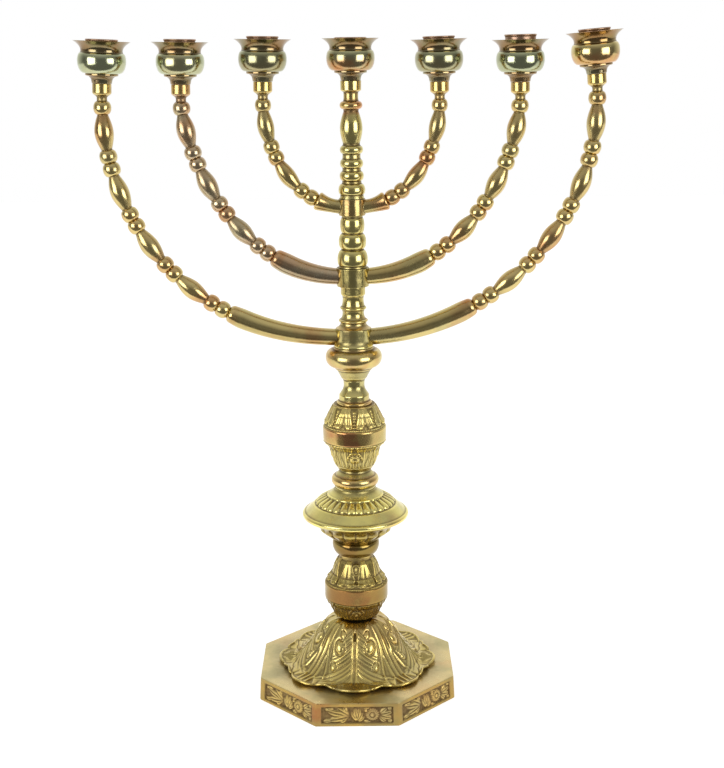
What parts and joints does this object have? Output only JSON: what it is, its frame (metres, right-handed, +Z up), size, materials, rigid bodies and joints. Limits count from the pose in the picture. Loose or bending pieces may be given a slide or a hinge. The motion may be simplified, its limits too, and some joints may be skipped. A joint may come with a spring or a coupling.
{
  "type": "candelabra",
  "caption": "Free-standing brass branched candelabra: arms on swivelling hubs round a turned stem, leaf foot, octagonal base, screw-on cups with lift-out candle liners.",
  "frame": {"origin": "on the stem's axis, on the surface that the base stands on", "axes": "+Z up along the stem, +X along the row of cups to the right as seen from the front, -Y towards the front"},
  "size_m": [0.4593, 0.1778, 0.5924],
  "materials": {
    "base_brass": "dull cast brass with a khaki patina and coppery wear on the edges",
    "cast_brass": "chased cast brass, bright on the leaves and dark in the recesses",
    "turned_brass": "turned and polished brass with a coppery blush",
    "cup_brass": "polished brass with a green-grey tarnish",
    "liner_brass": "reddish brass, darkened by candle heat",
    "plain_steel": "plain steel screws, rod, washer and nut"
  },
  "bodies": {
    "stem": {"base_plate": "base_brass", "leaf_foot": "cast_brass", "lower_knop": "cast_brass", "lower_ring": "turned_brass", "drip_disc": "cast_brass", "upper_ring": "turned_brass", "upper_knop": "cast_brass", "stem_neck": "turned_brass", "branch_collar": "turned_brass", "stem_low": "turned_brass", "stem_middle": "turned_brass", "stem_top": "turned_brass", "tie_rod": "plain_steel", "base_washer": "plain_steel", "base_nut": "plain_steel"},
    "outer_arms": {"hub_low": "turned_brass", "arm_outer_left": "turned_brass", "arm_outer_right": "turned_brass"},
    "middle_arms": {"hub_middle": "turned_brass", "arm_middle_left": "turned_brass", "arm_middle_right": "turned_brass"},
    "inner_arms": {"hub_top": "turned_brass", "arm_inner_left": "turned_brass", "arm_inner_right": "turned_brass"},
    "cup_1": {"cup_foot_1": "cup_brass", "cup_bowl_1": "cup_brass", "cup_screw_1": "plain_steel"},
    "cup_2": {"cup_foot_2": "cup_brass", "cup_bowl_2": "cup_brass", "cup_screw_2": "plain_steel"},
    "cup_3": {"cup_foot_3": "cup_brass", "cup_bowl_3": "cup_brass", "cup_screw_3": "plain_steel"},
    "cup_4": {"cup_foot_4": "cup_brass", "cup_bowl_4": "cup_brass", "cup_screw_4": "plain_steel"},
    "cup_5": {"cup_foot_5": "cup_brass", "cup_bowl_5": "cup_brass", "cup_screw_5": "plain_steel"},
    "cup_6": {"cup_foot_6": "cup_brass", "cup_bowl_6": "cup_brass", "cup_screw_6": "plain_steel"},
    "cup_7": {"cup_foot_7": "cup_brass", "cup_bowl_7": "cup_brass", "cup_screw_7": "plain_steel"},
    "liner_1": {"candle_liner_1": "liner_brass"},
    "liner_2": {"candle_liner_2": "liner_brass"},
    "liner_3": {"candle_liner_3": "liner_brass"},
    "liner_4": {"candle_liner_4": "liner_brass"},
    "liner_5": {"candle_liner_5": "liner_brass"},
    "liner_6": {"candle_liner_6": "liner_brass"},
    "liner_7": {"candle_liner_7": "liner_brass"}
  },
  "joints": [
    {"name": "outer_arms_turn", "type": "hinge", "parent": "stem", "child": "outer_arms", "pos_m": [0, 0, 0.3301], "axis": [0, 0, 1], "continuous": true},
    {"name": "middle_arms_turn", "type": "hinge", "parent": "stem", "child": "middle_arms", "pos_m": [0, 0, 0.3839], "axis": [0, 0, 1], "continuous": true},
    {"name": "inner_arms_turn", "type": "hinge", "parent": "stem", "child": "inner_arms", "pos_m": [0, 0, 0.4445], "axis": [0, 0, 1], "continuous": true},
    {"name": "cup_1_turn", "type": "hinge", "parent": "outer_arms", "child": "cup_1", "pos_m": [-0.2093, 0, 0.54998], "axis": [0.0488, 0, 0.9988], "continuous": true},
    {"name": "cup_2_turn", "type": "hinge", "parent": "middle_arms", "child": "cup_2", "pos_m": [-0.14312, 0, 0.5486], "axis": [0.0192, 0, 0.9998], "continuous": true},
    {"name": "cup_3_turn", "type": "hinge", "parent": "inner_arms", "child": "cup_3", "pos_m": [-0.07402, 0, 0.5503], "axis": [0.0192, 0, 0.9998], "continuous": true},
    {"name": "cup_4_turn", "type": "hinge", "parent": "stem", "child": "cup_4", "pos_m": [0, 0, 0.5505], "axis": [0, 0, 1], "continuous": true},
    {"name": "cup_5_turn", "type": "hinge", "parent": "inner_arms", "child": "cup_5", "pos_m": [0.07467, 0, 0.5491], "axis": [-0.0227, 0, 0.9997], "continuous": true},
    {"name": "cup_6_turn", "type": "hinge", "parent": "middle_arms", "child": "cup_6", "pos_m": [0.14277, 0, 0.5481], "axis": [-0.0157, 0, 0.9999], "continuous": true},
    {"name": "cup_7_turn", "type": "hinge", "parent": "outer_arms", "child": "cup_7", "pos_m": [0.20677, 0, 0.55425], "axis": [-0.0854, 0, 0.9963], "continuous": true},
    {"name": "liner_1_lift", "type": "slide", "parent": "cup_1", "child": "liner_1", "axis": [0.0488, 0, 0.9988], "range_m": [0, 0.03]},
    {"name": "liner_2_lift", "type": "slide", "parent": "cup_2", "child": "liner_2", "axis": [0.0192, 0, 0.9998], "range_m": [0, 0.03]},
    {"name": "liner_3_lift", "type": "slide", "parent": "cup_3", "child": "liner_3", "axis": [0.0192, 0, 0.9998], "range_m": [0, 0.03]},
    {"name": "liner_4_lift", "type": "slide", "parent": "cup_4", "child": "liner_4", "axis": [0, 0, 1], "range_m": [0, 0.03]},
    {"name": "liner_5_lift", "type": "slide", "parent": "cup_5", "child": "liner_5", "axis": [-0.0227, 0, 0.9997], "range_m": [0, 0.03]},
    {"name": "liner_6_lift", "type": "slide", "parent": "cup_6", "child": "liner_6", "axis": [-0.0157, 0, 0.9999], "range_m": [0, 0.03]},
    {"name": "liner_7_lift", "type": "slide", "parent": "cup_7", "child": "liner_7", "axis": [-0.0854, 0, 0.9963], "range_m": [0, 0.03]}
  ]
}
